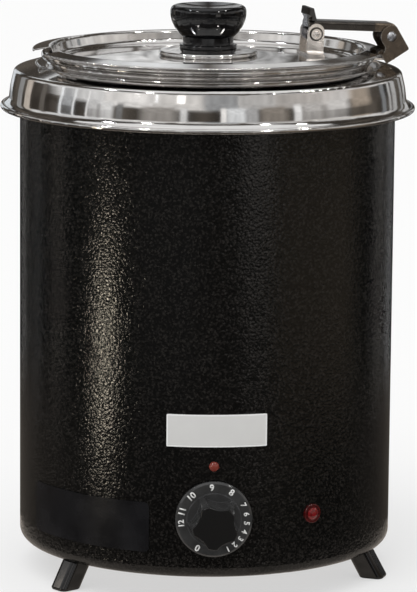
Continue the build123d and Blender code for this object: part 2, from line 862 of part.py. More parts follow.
def hinge_bracket():
    # Two cheeks, the web between them on the pot's side, and a floor that sits on the tongue.
    tilted = hinge_pin * Rot(0, 0, bracket_tilt)
    cheek = bracket_side()
    solid = extrude(cheek, bracket_width / 2, both=True)
    room = extrude(cheek, bracket_inside, both=True)
    web = Pos(-bracket_front, -bracket_length) * Rectangle(
        bracket_sheet, bracket_web_height, align=(Align.MIN, Align.MIN))
    bracket = tilted * (solid - room + extrude(web, bracket_width / 2, both=True))
    wide = bracket_width * 4
    below = Box(wide, wide, bracket_inside * 2, align=(Align.CENTER, Align.MAX, Align.CENTER))
    bracket -= hinge_side * Pos(pivot_radius, tongue_top) * below
    floor = Box(wide, bracket_sheet, bracket_width, align=(Align.CENTER, Align.MIN, Align.CENTER))
    bracket += (hinge_side * Pos(pivot_radius, tongue_top) * floor) & (tilted * solid)
    step_radius = pot_flange_radius + seat_gap
    clear_top = collar_top + bracket_gap
    clear = [(0, collar_low), (collar_shoulder_reach, collar_low), (collar_shoulder_reach, clear_top - collar_fall),
             (step_radius, clear_top), (0, clear_top)]
    bracket -= turned(outline(clear, 0))
    for side in (-1, 1):
        place = hinge_side * Pos(rivet_radius_place, tongue_top, side * tongue_rivet_spacing / 2)
        bracket -= place * Rot(-90, 0, 0) * rod(tongue_rivet_radius, -bracket_sheet, bracket_sheet * 2)
    return bracket - hinge_pin * rod(hinge_screw_radius, -bracket_width, bracket_width)


def hinge_rivets():
    length = tongue_thickness + bracket_sheet
    rivet = dome(tongue_rivet_head_radius, tongue_rivet_head_height) + rod(tongue_rivet_radius, -length, 0)
    level = tongue_top + bracket_sheet
    return group([hinge_side * Pos(rivet_radius_place, level, side * tongue_rivet_spacing / 2)
                  * Rot(-90, 0, 0) * rivet for side in (-1, 1)])


def hinge_spacer():
    return hinge_pin * tube(hinge_spacer_radius, hinge_screw_radius, -bracket_inside, bracket_inside)


def hinge_screw():
    length = bracket_width + hinge_nut_height + hinge_screw_tail
    fastener = screw(hinge_screw_head_radius, hinge_screw_head_height, hinge_screw_radius, length)
    return hinge_pin * Pos(0, 0, bracket_width / 2) * fastener


def hinge_nut():
    low = -bracket_width / 2 - hinge_nut_height
    return hinge_pin * hex_nut(hinge_nut_flats, hinge_screw_radius, low, hinge_nut_height)


# The arm's own plane: x runs from the hinge pin to the lid's rivet, y away from the lid.
arm_run = pivot_radius - lid_pivot_radius
arm_rise = lid_pivot_height - pivot_height
arm_length = hypot(arm_run, arm_rise)
arm_slope = degrees(atan2(arm_rise, arm_run))
arm_place = hinge_pin * Rot(0, 0, -arm_slope) * Rot(0, 180, 0)
tab_width = (arm_half + tab_flare) * 2
tab_place = arm_place * Pos(arm_length + arm_lid_overhang - arm_sheet, arm_top) * Rot(0, 0, -tab_lean)


def arm_section(half, top, bend):
    # A strip across the arm with its two upper corners rounded; x is up here, y runs along the pins.
    low = -arm_hinge_lobe * 2
    return outline([(low, -half), (top, -half), (top, half), (low, half)], [0, bend, bend, 0])


def thumb_tab():
    # Closes the end of the arm and widens above it; y runs up the tab, from the arm's top.
    root = arm_half - arm_bend_radius
    low = -arm_depth + arm_sheet
    half = tab_width / 2
    right = [(root, low), (root, arm_sheet), (half, tab_length - cap_height), (half, tab_length)]
    face = make_face(Polyline(*right, *[(-across, up) for across, up in reversed(right)], close=True))
    return extrude(Rot(0, 90, 0) * face, arm_sheet)


def lid_arm():
    # A channel, open below, with lobes that take the pins and a tab at the lid's end.
    bar_length = arm_length + arm_lid_overhang + arm_hinge_overhang
    bar_low = arm_top - arm_depth
    bar = Rectangle(bar_length, arm_depth, align=(Align.MIN, Align.MIN))
    bar = Pos(-arm_hinge_overhang, bar_low) * bar
    corner = bar.vertices().sort_by_distance((-arm_hinge_overhang, arm_top))[0]
    bar = fillet(corner, arm_hinge_round)
    side = bar + Circle(arm_hinge_lobe) + Pos(arm_length, 0) * Circle(arm_lid_lobe)
    side += Pos(0, bar_low / 2) * Rectangle(arm_hinge_overhang * 2, bar_low)
    side += Pos(arm_length, bar_low / 2) * Rectangle(arm_lid_overhang * 2, bar_low)
    section = arm_section(arm_half, arm_top, arm_bend_radius)
    section -= arm_section(arm_half - arm_sheet, arm_top - arm_sheet, arm_bend_radius - arm_sheet)
    channel = extrude(Plane.YZ * section, arm_length * 2, both=True)
    channel &= extrude(side, arm_half * 2, both=True)
    channel -= rod(hinge_spacer_radius + run_gap, -arm_half * 2, arm_half * 2)
    channel -= Pos(arm_length, 0) * rod(lid_rivet_radius + run_gap, -arm_half * 2, arm_half * 2)
    return arm_place * channel + tab_place * thumb_tab()


def thumb_cap():
    # A grip over the tab's edge, with a heel that runs down to the arm on the hinge's side.
    top = tab_length + cap_wall
    front = arm_sheet + cap_wall
    low = top - cap_height
    points = [
        (-cap_heel, 0), (0, 0), (0, low), (front, low),
        (front - cap_slant, top), (-cap_wall, top),
    ]
    grip = outline(points, [cap_round, 0, 0, cap_round, cap_round, cap_round])
    grip = extrude(grip, tab_width / 2 + cap_wall, both=True)
    return tab_place * (grip - thumb_tab())


def lid_pan():
    points = [
        (0, lid_panel),
        (lid_cone_radius, lid_panel),
        (lid_plug_radius, lid_panel - lid_crown),
        (lid_crest_radius, lid_crest),
        (lid_radius, lid_crest - lid_brim_drop),
        (lid_radius, lid_crest - lid_brim_drop - lid_edge_turn),
    ]
    radii = [lid_crown_radius, lid_plug_fillet, lid_crest_fillet, lid_edge_fillet]
    pan = turned(sheet(points, radii, lid_wall, Side.RIGHT))
    notch = RectangleRounded(notch_depth * 2, notch_width, notch_corner)
    notch = extrude(notch, (lid_plug_depth + lid_crown) * 2, both=True)
    pan -= standing(hinge_azimuth + 180, lid_radius, lid_crest) * notch
    return pan - Pos(0, 0, lid_panel) * rod(knob_screw_radius, -lid_wall * 2, lid_wall)


def lid_bracket():
    # A channel that stands square on the lid's cone, with round ears and feet turned outwards.
    lean = atan2(lid_crown, lid_plug_radius - lid_cone_radius)
    rise = (lid_pivot_rise + (lid_pivot_radius - lid_cone_radius) * lid_cone_slope) * cos(lean)
    base_radius = lid_pivot_radius - rise * sin(lean)
    base_height = lid_pivot_height - rise * cos(lean)
    inner, outer, reach = ear_inside, ear_outside, ear_outside + ear_foot_reach
    tall = rise + ear_crown + ear_width
    foot = [(reach, 0), (reach, ear_sheet), (outer, ear_sheet)]
    right = foot + [(outer, tall), (inner, tall), (inner, ear_sheet)]
    points = right + [(-across, up) for across, up in reversed(right)]
    radii = [0, 0, ear_foot_fillet, 0, 0, 0]
    radii += reversed(radii)
    channel = extrude(Plane.YZ * outline(points, radii), ear_width / 2, both=True)
    round_level = rise + ear_crown
    face = Pos(0, round_level / 2) * Rectangle(ear_width, round_level)
    face += Pos(0, round_level) * Circle(ear_width / 2)
    channel &= extrude(Plane.XZ * face, reach * 2, both=True)
    bracket = standing(hinge_azimuth, base_radius, base_height) * Rot(0, degrees(lean), 0) * channel
    return bracket - lid_pin * rod(lid_rivet_radius, -reach, reach)


def lid_rivet():
    # A raised rim round a domed head, on both ends.
    rim, inner = lid_rivet_rim_radius, lid_rivet_rim_radius - lid_rivet_rim_width
    head = tube(rim, inner, 0, lid_rivet_rim_height) + rod(rim, 0, lid_rivet_rim_height / 2)
    head += dome(lid_rivet_head_radius, lid_rivet_head_height)
    rivet = rod(lid_rivet_radius, -ear_outside, ear_outside)
    rivet += Pos(0, 0, ear_outside) * head + Pos(0, 0, -ear_outside) * Rot(180, 0, 0) * head
    return lid_pin * rivet


def knob_plate():
    # A low crown with a rolled edge, on which the knob stands.
    edge = knob_plate_radius
    inner = edge - knob_plate_roll
    high = knob_plate_edge
    crown = edge - knob_plate_crown
    top = knob_plate_height
    wall = Polyline((crown, top), (0, top), (0, 0), (inner, 0))
    roll = ThreePointArc((inner, 0), (edge, high / 2), (inner, high))
    crest = SagittaArc((inner, high), (crown, top), knob_plate_bulge)
    plate = turned(make_face(wall + roll + crest))
    return Pos(0, 0, lid_panel) * (plate - rod(knob_screw_radius, -top, top * 2))


def lid_knob():
    # A bowl on a short neck and a foot ring, with a shallow dish in the top.
    neck_top = knob_foot_height + knob_neck_height
    band_low = neck_top + knob_bowl_height
    band_top = band_low + knob_band_height
    top = band_top + knob_rim_height
    rim = knob_radius - knob_brow
    lower = FilletPolyline(
        (0, 0), (knob_foot_radius, 0), (knob_foot_radius, knob_foot_height),
        (knob_neck_radius, knob_foot_height), (knob_neck_radius, neck_top),
        radius=[soft_edge * 2, soft_edge * 2, soft_edge])
    bowl = SagittaArc((knob_neck_radius, neck_top), (knob_radius, band_low), -knob_belly)
    band = Line((knob_radius, band_low), (knob_radius, band_top))
    brow = TangentArc((knob_radius, band_top), (rim, top), tangent=(0, 1))
    axis = Polyline((rim, top), (0, top), (0, 0))
    knob = turned(make_face(lower + bowl + band + brow + axis))
    dish = (rim**2 + knob_dish_depth**2) / (2 * knob_dish_depth)
    knob -= Pos(0, 0, top - knob_dish_depth + dish) * Sphere(dish)
    return Pos(0, 0, knob_low) * (knob - rod(knob_screw_radius, -knob_foot_height, knob_screw_grip))


knob_washer_top = lid_panel - lid_wall


def knob_washer():
    low = knob_washer_top - knob_washer_thickness
    return tube(knob_washer_radius, knob_screw_radius, low, knob_washer_top)


def knob_screw():
    length = knob_washer_thickness + lid_wall + knob_plate_height + knob_screw_grip
    fastener = screw(knob_screw_head_radius, knob_screw_head_height, knob_screw_radius, length)
    return Pos(0, 0, knob_washer_top - knob_washer_thickness) * Rot(180, 0, 0) * fastener


def control_dial():
    # A bevelled skirt and a tapered grip with shallow scallops; the back is hollow over the screw heads.
    skirt_front = dial_stand_off + dial_skirt_thickness
    bevel = dial_bevel
    edges = [(0, dial_stand_off), (dial_radius, dial_stand_off), (dial_radius, skirt_front - bevel),
             (dial_radius - bevel, skirt_front), (0, skirt_front)]
    skirt = outline(edges, [0, soft_edge, soft_edge, soft_edge, 0])
    side = [(grip_foot_radius, skirt_front), (grip_face_radius, dial_reach)]
    handle = turned(outline([(0, skirt_front), *side, (0, dial_reach)], 0))
    reach = grip_face_radius - scallop_depth + scallop_radius
    for azimuth in around(scallop_count, 90 - scallop_azimuth):
        scallop = rod(scallop_radius, skirt_front + grip_edge, dial_reach * 2)
        handle -= Rot(0, 0, azimuth) * Pos(reach) * scallop
    face = handle.faces().filter_by(Axis.Z).sort_by(Axis.Z)[-1]
    handle = fillet(face.edges(), grip_edge)
    recess = tube(dial_recess_radius, dial_hub_radius, dial_stand_off, dial_stand_off + dial_recess_depth)
    bore = rod(shaft_radius, 0, dial_stand_off + shaft_bore_depth)
    return dial_place * (turned(skirt) + handle - recess - bore)


def dial_shaft():
    front = dial_stand_off + shaft_bore_depth
    return dial_place * rod(shaft_radius, thermostat_front - shaft_socket, front)


parts = {
    "outer_casing": outer_casing(),
    "base_plate": base_plate(),
    "base_screws": base_screws(),
    "base_nuts": base_nuts(),
    "foot_studs": foot_studs(),
    "foot_nuts": foot_nuts(),
    "water_well": water_well(),
    "well_seal": well_seal(),
    "rim_screws": rim_screws(),
    "rim_nuts": rim_nuts(),
    "heating_element": heating_element(),
    "heater_pad": heater_layer(heater_radius - pad_inset, heater_bore, heater_low, pad_thickness),
    "heater_clamp": heater_layer(heater_radius + clamp_overhang, heater_bore, pad_low, clamp_thickness),
    "heater_studs": heater_studs(),
    "heater_nuts": heater_nuts(),
    "thermostat_body": thermostat_body(),
    "thermostat_screws": thermostat_screws(),
    "thermostat_capillary": thermostat_capillary(),
    "bulb_clip": bulb_clip(),
    "pilot_lamp_bezel": pilot_lamp_bezel(),
    "pilot_lamp_lens": pilot_lamp_lens(),
    "pilot_lamp_body": pilot_lamp_body(),
    "pilot_lamp_nut": pilot_lamp_nut(),
    "index_jewel": index_jewel(),
    "index_clip": index_clip(),
    "front_plate": curved_plate(
        plate_azimuth, plate_rise, plate_width, plate_tall, plate_thickness, plate_corner),
    "side_film": curved_plate(
        film_azimuth, film_rise, film_width, film_tall, film_thickness, film_corner),
    "cable_gland": cable_gland(),
    "gland_nut": gland_nut(),
    "terminal_block": terminal_block(),
    "terminal_screws": terminal_screws(),
    "collar_ring": collar_ring(),
    "soup_pot": soup_pot(),
    "hinge_tongue": hinge_tongue(),
    "hinge_bracket": hinge_bracket(),
    "hinge_rivets": hinge_rivets(),
    "hinge_spacer": hinge_spacer(),
    "hinge_screw": hinge_screw(),
    "hinge_nut": hinge_nut(),
    "lid_arm": lid_arm(),
    "thumb_cap": thumb_cap(),
    "lid_pan": lid_pan(),
    "lid_bracket": lid_bracket(),
    "lid_rivet": lid_rivet(),
    "knob_plate": knob_plate(),
    "lid_knob": lid_knob(),
    "knob_washer": knob_washer(),
    "knob_screw": knob_screw(),
    "control_dial": control_dial(),
    "dial_shaft": dial_shaft(),
}
for name, azimuth in zip(foot_names, foot_azimuths):
    parts[name] = foot(azimuth)

os.makedirs("parts", exist_ok=True)
for name, shape in parts.items():
    export_step(shape, f"parts/{name}.step")
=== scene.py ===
import bpy
import json
import math
from mathutils import Matrix, Vector


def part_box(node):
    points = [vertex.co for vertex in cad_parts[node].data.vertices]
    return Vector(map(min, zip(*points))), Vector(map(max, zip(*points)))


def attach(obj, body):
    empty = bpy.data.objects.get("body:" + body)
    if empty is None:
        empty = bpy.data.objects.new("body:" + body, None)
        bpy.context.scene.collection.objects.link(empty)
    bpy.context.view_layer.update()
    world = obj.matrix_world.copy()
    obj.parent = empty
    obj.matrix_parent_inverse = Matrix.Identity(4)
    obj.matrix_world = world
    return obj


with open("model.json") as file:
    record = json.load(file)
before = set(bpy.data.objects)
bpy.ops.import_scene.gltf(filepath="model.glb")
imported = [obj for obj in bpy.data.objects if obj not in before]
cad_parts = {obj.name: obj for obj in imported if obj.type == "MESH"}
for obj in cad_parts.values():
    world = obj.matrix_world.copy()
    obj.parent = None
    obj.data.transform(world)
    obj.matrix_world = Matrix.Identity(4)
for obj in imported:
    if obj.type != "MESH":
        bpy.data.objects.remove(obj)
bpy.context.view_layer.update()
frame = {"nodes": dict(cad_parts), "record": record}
cadNodes = frame["nodes"]
slotOfNode = {row["node"]: row["material_slot"] for row in frame["record"]["subparts"]}


class Wire:  # one socket of a node tree; sums and products on it add Math nodes
    def __init__(self, tree, socket=None):
        self.tree = tree
        self.socket = socket

    def node(self, kind, settings=None, sockets=None, output=0):
        item = self.tree.nodes.new(kind)
        for name, value in (settings or {}).items():
            setattr(item, name, value)
        for name, value in (sockets or {}).items():
            if isinstance(value, Wire):
                self.tree.links.new(value.socket, item.inputs[name])
            else:
                item.inputs[name].default_value = value
        return Wire(self.tree, item.outputs[output] if item.outputs else None)

    def maths(self, operation, first, second=0.0):
        return self.node("ShaderNodeMath", {"operation": operation}, {0: first, 1: second})

    def __add__(self, other):
        return self.maths("ADD", self, other)

    __radd__ = __add__

    def __sub__(self, other):
        return self.maths("SUBTRACT", self, other)

    def __rsub__(self, other):
        return self.maths("SUBTRACT", other, self)

    def __mul__(self, other):
        return self.maths("MULTIPLY", self, other)

    __rmul__ = __mul__

    def __pow__(self, other):
        return self.maths("POWER", self, other)

    def __abs__(self):
        return self.maths("ABSOLUTE", self)


def newFinish(name):
    material = bpy.data.materials.new(name)
    material.use_nodes = True
    material.node_tree.nodes.clear()
    return material, Wire(material.node_tree)


def lay(pen, sockets):  # the shader itself and the material's output
    shader = pen.node("ShaderNodeBsdfPrincipled", None, sockets)
    pen.node("ShaderNodeOutputMaterial", None, {"Surface": shader})


def onObject(pen, centre=(0, 0, 0), turn=(0, 0, 0), scale=(1, 1, 1)):
    place = pen.node("ShaderNodeTexCoord", output="Object")
    sockets = {"Vector": place, "Location": centre, "Rotation": turn, "Scale": scale}
    return pen.node("ShaderNodeMapping", {"vector_type": "TEXTURE"}, sockets)


def noise(pen, where, scale, detail=2.0, rough=0.5, distortion=0.0):
    sockets = {
        "Vector": where, "Scale": scale, "Detail": detail, "Roughness": rough, "Distortion": distortion,
    }
    return pen.node("ShaderNodeTexNoise", None, sockets)


def cells(pen, where, scale, smooth=0.5):
    sockets = {"Vector": where, "Scale": scale, "Smoothness": smooth}
    return pen.node("ShaderNodeTexVoronoi", {"feature": "SMOOTH_F1"}, sockets)


def ranged(pen, value, start, end, low=0.0, high=1.0):
    return pen.node("ShaderNodeMapRange", None, {0: value, 1: start, 2: end, 3: low, 4: high})


def roughFrom(pen, cloud, limits):  # a cloud's middle spread between two roughnesses
    return ranged(pen, cloud, 0.3, 0.7, *limits)


def tint(pen, factor, first, second):
    return pen.node("ShaderNodeMix", {"data_type": "RGBA"}, {0: factor, 6: first, 7: second}, 2)


def bump(pen, height, distance, strength=1.0, under=None):  # under: a coarser bump that this one lies on
    sockets = {"Strength": strength, "Distance": distance, "Height": height}
    if under:
        sockets["Normal"] = under
    return pen.node("ShaderNodeBump", None, sockets)


def axes(pen, where):  # x, y and z as three wires
    split = pen.node("ShaderNodeSeparateXYZ", None, {0: where}).socket.node
    return [Wire(pen.tree, split.outputs[index]) for index in range(3)]


def grey(level, warm=0.0):
    return (level * (1 + warm), level, level * (1 - warm), 1)


def edgeMask(pen, radius):  # 1 along sharp edges, 0 on flats
    rounded = pen.node("ShaderNodeBevel", {"samples": 6}, {"Radius": radius})
    plain = pen.node("ShaderNodeNewGeometry", output="Normal")
    same = pen.node("ShaderNodeVectorMath", {"operation": "DOT_PRODUCT"}, {0: rounded, 1: plain}, "Value")
    return ranged(pen, same, 0.72, 0.98, 1.0, 0.0)


# finishes, one function each, named as the slots they serve
hammertone = {
    "dark": grey(0.002), "light": grey(0.014, 0.1), "paintedPebbleLight": (0.62, 0.86),
    "pebbleScale": 700, "domeScale": 640, "patchScale": 35, "height": 0.00034,
    "rough": (0.07, 0.15), "ior": 1.5,
}


def hammertoneBlack():
    material, pen = newFinish("hammertoneBlack")
    where = onObject(pen)
    worms = noise(pen, where, hammertone["pebbleScale"], 1.0, 0.5, 0.7)
    domes = cells(pen, where, hammertone["domeScale"], 0.7)
    patches = noise(pen, where, hammertone["patchScale"])
    height = worms * 0.75 + (1 - domes) * 0.5
    # painted highlight and shade: pebble tops take the light colour, the valleys between them the dark
    # one
    paintedPebbleLight = ranged(pen, height, *hammertone["paintedPebbleLight"])
    lay(pen, {
        "Base Color": tint(pen, paintedPebbleLight, hammertone["dark"], hammertone["light"]),
        "Roughness": roughFrom(pen, patches * 0.5 + worms * 0.5, hammertone["rough"]),
        "IOR": hammertone["ior"],
        "Normal": bump(pen, height, hammertone["height"], 0.75),
    })
    return material


polished = {
    "bright": grey(0.80, 0.015), "dull": grey(0.68, 0.02),
    "lineScale": 2600, "smudgeScale": 26, "rough": (0.03, 0.12), "height": 0.000004,
    "waveScale": 16, "waveHeight": 0.0005, "softEdge": 0.0012,
}


def polishedSteel():  # turned and buffed: the finest lines run round the axis
    material, pen = newFinish("polishedSteel")
    where = onObject(pen)
    x, y, z = axes(pen, where)
    radius = (x * x + y * y) ** 0.5
    rings = pen.node("ShaderNodeCombineXYZ", None, {0: radius, 1: z})
    lines = noise(pen, rings, polished["lineScale"], 3.0, 0.6)
    smudges = noise(pen, where, polished["smudgeScale"], 4.0, 0.6)
    eased = pen.node("ShaderNodeBevel", {"samples": 6}, {"Radius": polished["softEdge"]})
    waves = bump(pen, noise(pen, where, polished["waveScale"], 1.0), polished["waveHeight"], 0.5, eased)
    lay(pen, {
        "Base Color": tint(pen, ranged(pen, smudges, 0.35, 0.75), polished["bright"], polished["dull"]),
        "Metallic": 1.0,
        "Roughness": roughFrom(pen, lines * 0.35 + smudges * 0.65, polished["rough"]),
        "Normal": bump(pen, lines, polished["height"], 0.5, waves),
    })
    return material


brushed = {
    "light": grey(0.9, 0.05), "dark": grey(0.74, 0.06), "rough": (0.2, 0.3), "height": 0.000006,
    "strokeScale": 900, "strokeDraw": (1, 1, 0.04), "wearScale": 60,
    # the colour and width of the painted shade round the lid rivet's head
    "paintedRivetShade": (0.05, 0.045, 0.035, 1), "paintedRivetShadeWidth": 0.0008,
}


def brushedSteel():
    material, pen = newFinish("brushedSteel")
    strokes = noise(pen, onObject(pen, scale=brushed["strokeDraw"]), brushed["strokeScale"], 3.0, 0.6)
    wear = noise(pen, onObject(pen), brushed["wearScale"], 3.0)
    joints = frame["record"]["behaviour"]["joints"]
    tilt = next(joint for joint in joints if joint["name"] == "lid_tilt")  # its axis is the lid rivet's
    swing = math.atan2(-tilt["axis"][0], tilt["axis"][1])
    x, y, z = axes(pen, onObject(pen, centre=tilt["pos_m"], turn=(0, 0, swing)))
    headLow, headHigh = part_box("lid_rivet")
    fromHead = abs((x * x + z * z) ** 0.5 - (headHigh.z - headLow.z) / 2)
    width = brushed["paintedRivetShadeWidth"]
    paintedRivetShade = ranged(pen, fromHead, width * 0.3, width, 1.0, 0.0)  # painted shade: a dark ring where the head meets the bracket
    bare = tint(pen, ranged(pen, wear, 0.35, 0.7), brushed["light"], brushed["dark"])
    lay(pen, {
        "Base Color": tint(pen, paintedRivetShade, bare, brushed["paintedRivetShade"]),
        "Metallic": 1.0,
        "Roughness": roughFrom(pen, strokes * 0.6 + wear * 0.4, brushed["rough"]),
        "Normal": bump(pen, strokes, brushed["height"], 0.6),
    })
    return material


zinc = {
    "light": (0.62, 0.63, 0.65, 1), "dark": (0.46, 0.47, 0.5, 1), "rough": (0.22, 0.42),
    "spangleScale": 260, "hazeScale": 700, "height": 0.00001,
}


def zincSteel():  # spangled plating
    material, pen = newFinish("zincSteel")
    where = onObject(pen)
    spangle = pen.node("ShaderNodeTexVoronoi", None, {"Vector": where, "Scale": zinc["spangleScale"]})
    haze = noise(pen, where, zinc["hazeScale"], 3.0)
    lay(pen, {
        "Base Color": tint(pen, ranged(pen, spangle, 0.1, 0.7), zinc["light"], zinc["dark"]),
        "Metallic": 1.0,
        "Roughness": ranged(pen, haze * 0.6 + spangle * 0.4, 0.2, 0.6, *zinc["rough"]),
        "Normal": bump(pen, haze, zinc["height"], 0.5),
    })
    return material


phenolic = {
    "deep": (0.003, 0.003, 0.0035, 1), "dusty": (0.008, 0.008, 0.009, 1), "rough": (0.05, 0.14),
    "filmScale": 55, "rippleScale": 320, "height": 0.00002, "ior": 1.55,
}


def blackPhenolic():
    material, pen = newFinish("blackPhenolic")
    where = onObject(pen)
    film = noise(pen, where, phenolic["filmScale"], 4.0, 0.6)
    ripple = noise(pen, where, phenolic["rippleScale"], 1.0)
    lay(pen, {
        "Base Color": tint(pen, ranged(pen, film, 0.45, 0.75), phenolic["deep"], phenolic["dusty"]),
        "Roughness": ranged(pen, film, 0.35, 0.75, *phenolic["rough"]),
        "IOR": phenolic["ior"],
        "Normal": bump(pen, ripple, phenolic["height"], 0.35),
    })
    return material


dialGrain = {
    "dark": grey(0.026), "light": grey(0.05), "rough": (0.1, 0.2),
    # face: painted shade, a darker colour for the grip's front face than for the skirt
    "face": grey(0.008), "faceDepth": 0.0012, "edgeWearAndHighlight": (0.16, 0.16, 0.17, 1), "edge": 0.0007,
    "grainScale": 2600, "rubScale": 120, "height": 0.00004,
}


def dialPlastic():
    material, pen = newFinish("dialPlastic")
    where = onObject(pen)
    grain = noise(pen, where, dialGrain["grainScale"])
    rub = noise(pen, where, dialGrain["rubScale"], 3.0)
    y = axes(pen, where)[1]
    scuffs = ranged(pen, rub * 0.7 + grain * 0.3, 0.35, 0.7)
    skirt = tint(pen, scuffs, dialGrain["dark"], dialGrain["light"])
    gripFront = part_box("control_dial")[0].y
    # painted shade: the grip's front face is coloured darker than the skirt
    paintedShadeOnFace = pen.maths("LESS_THAN", y, gripFront + dialGrain["faceDepth"])
    # edge wear and painted highlight: the dial's edges are lightened
    edgeWearAndHighlight = edgeMask(pen, dialGrain["edge"]) * ranged(pen, rub, 0.35, 0.65, 0.3, 0.8)
    lay(pen, {
        "Base Color": tint(pen, edgeWearAndHighlight, tint(pen, paintedShadeOnFace, skirt, dialGrain["face"]), dialGrain["edgeWearAndHighlight"]),
        "Roughness": roughFrom(pen, rub, dialGrain["rough"]),
        "Normal": bump(pen, grain, dialGrain["height"], 0.5),
    })
    return material


plate = {
    "field": (0.68, 0.675, 0.66, 1), "cloud": (0.73, 0.725, 0.71, 1), "rough": (0.34, 0.42),
    "edge": (0.9, 0.9, 0.89, 1), "border": 0.0008, "blur": 0.00015,
    "cloudScale": 45, "grainScale": 4000, "height": 0.00006,
}


def plateSilver():  # satin field with a bright edge all round
    material, pen = newFinish("plateSilver")
    where = onObject(pen)
    x, y, z = axes(pen, where)
    low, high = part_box("front_plate")
    middle, half = (low + high) / 2, (high - low) / 2
    side = abs(x - middle.x) - (half.x - plate["border"])
    ends = abs(z - middle.z) - (half.z - plate["border"])
    rim = ranged(pen, pen.maths("MAXIMUM", side, ends), -plate["blur"], plate["blur"])
    clouds = noise(pen, where, plate["cloudScale"])
    grain = noise(pen, where, plate["grainScale"], 1.0)
    field = tint(pen, ranged(pen, clouds * 0.7 + grain * 0.3, 0.3, 0.7), plate["field"], plate["cloud"])
    lay(pen, {
        "Base Color": tint(pen, rim, field, plate["edge"]),
        "Metallic": 0.15,
        "Roughness": roughFrom(pen, grain, plate["rough"]),
        "Normal": bump(pen, grain * 0.1 - rim, plate["height"], 0.5),
    })
    return material


filmTone = {
    "dark": (0.005, 0.005, 0.006, 1), "light": (0.01, 0.01, 0.012, 1), "rough": (0.2, 0.32), "ior": 1.4,
    "hazeScale": 45, "height": 0.00012,
}


def darkFilm():  # thin film that lets the paint's pebbles show through faintly
    material, pen = newFinish("darkFilm")
    where = onObject(pen)
    pebbles = noise(pen, where, hammertone["pebbleScale"], 1.0)
    haze = noise(pen, where, filmTone["hazeScale"], 3.0)
    lay(pen, {
        "Base Color": tint(pen, ranged(pen, haze, 0.35, 0.7), filmTone["dark"], filmTone["light"]),
        "Roughness": roughFrom(pen, haze, filmTone["rough"]),
        "IOR": filmTone["ior"],
        "Normal": bump(pen, pebbles, filmTone["height"], 0.3),
    })
    return material


lens = {
    "core": (0.17, 0.006, 0.008, 1), "deep": (0.05, 0.0015, 0.002, 1), "jewel": (0.19, 0.035, 0.025, 1),
    "ring": 0.0021, "ringWidth": 0.0007, "jewelRoom": 0.012, "facing": 31.2,
    "cloudScale": 900, "height": 0.0001, "rough": (0.05, 0.11), "coat": 0.6, "ior": 1.49,
}


def redLens():  # a clear red dome with a moulded ring inside
    material, pen = newFinish("redLens")
    low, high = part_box("pilot_lamp_lens")
    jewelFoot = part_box("index_jewel")[0].z
    drop = jewelFoot - lens["jewelRoom"] - (low.z + high.z) / 2
    where = onObject(pen, centre=(low + high) / 2)
    x, y, z = axes(pen, where)
    facing = math.radians(lens["facing"])  # the lamp's place round the casing
    turned = x * math.cos(facing) + y * math.sin(facing)
    reach = (turned * turned + z * z) ** 0.5
    ring = ranged(pen, abs(reach - lens["ring"]), lens["ringWidth"] * 0.4, lens["ringWidth"], 1.0, 0.0)
    cloud = noise(pen, where, lens["cloudScale"])
    tone = tint(pen, ranged(pen, ring * 0.4 + cloud * 0.4, 0.1, 0.9), lens["core"], lens["deep"])
    above = pen.maths("GREATER_THAN", z, drop)
    lay(pen, {
        "Base Color": tint(pen, above, tone, lens["jewel"]),
        "Roughness": roughFrom(pen, cloud, lens["rough"]),
        "Coat Weight": lens["coat"],
        "IOR": lens["ior"],
        "Normal": bump(pen, ring * -1.0 + cloud * 0.3, lens["height"], 0.5),
    })
    return material


bezel = {
    "dark": (0.03, 0.002, 0.002, 1), "light": (0.07, 0.004, 0.004, 1), "rough": (0.14, 0.26),
    "cloudScale": 700, "height": 0.00003,
}


def redBezel():
    material, pen = newFinish("redBezel")
    cloud = noise(pen, onObject(pen), bezel["cloudScale"], 3.0)
    lay(pen, {
        "Base Color": tint(pen, ranged(pen, cloud, 0.3, 0.7), bezel["dark"], bezel["light"]),
        "Roughness": roughFrom(pen, cloud, bezel["rough"]),
        "Normal": bump(pen, cloud, bezel["height"], 0.4),
    })
    return material


hingeTones = {
    # dark and light: a painted brown reflection on the bracket's cheeks, over the arm's own colours
    "dark": (0.07, 0.054, 0.04, 1), "light": (0.17, 0.135, 0.1, 1), "rough": (0.16, 0.32),
    "armDark": (0.022, 0.019, 0.017, 1), "armLight": (0.07, 0.062, 0.054, 1),
    "edgeWearAndHighlight": (0.62, 0.58, 0.52, 1), "edge": 0.0006, "paintedTabReflection": (0.6, 0.61, 0.66, 1), "paintedTabReach": 0.0025,
    "mottleScale": 180, "scratchScale": 900, "scratchDraw": (0.08, 0.6, 1), "height": 0.00001,
}


